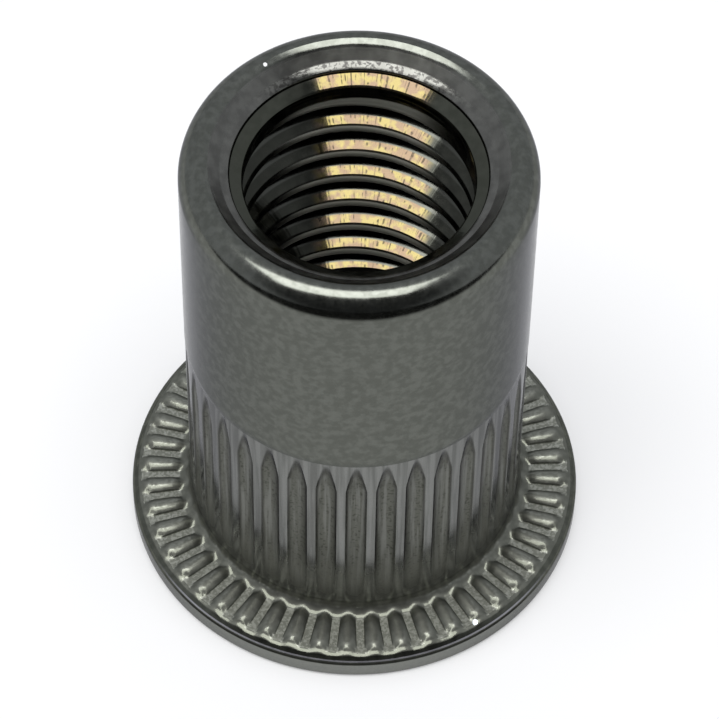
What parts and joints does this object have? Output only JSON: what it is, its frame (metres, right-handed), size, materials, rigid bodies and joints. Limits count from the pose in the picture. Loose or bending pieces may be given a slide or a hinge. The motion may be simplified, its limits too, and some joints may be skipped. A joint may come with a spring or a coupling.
{
  "type": "rivet nut",
  "caption": "Flat-head rivet nut with an internal metric thread, a splined shank and a ribbed flange that grips the sheet it is set in.",
  "frame": {"origin": "centre of the head's outer face, on the axis", "axes": "+Z along the axis, from the head to the open threaded end; the nut stands on its head"},
  "size_m": [0.0176, 0.0176, 0.021],
  "materials": {
    "steel": "satin"
  },
  "bodies": {
    "root": {"nut_body": "steel"}
  },
  "joints": []
}
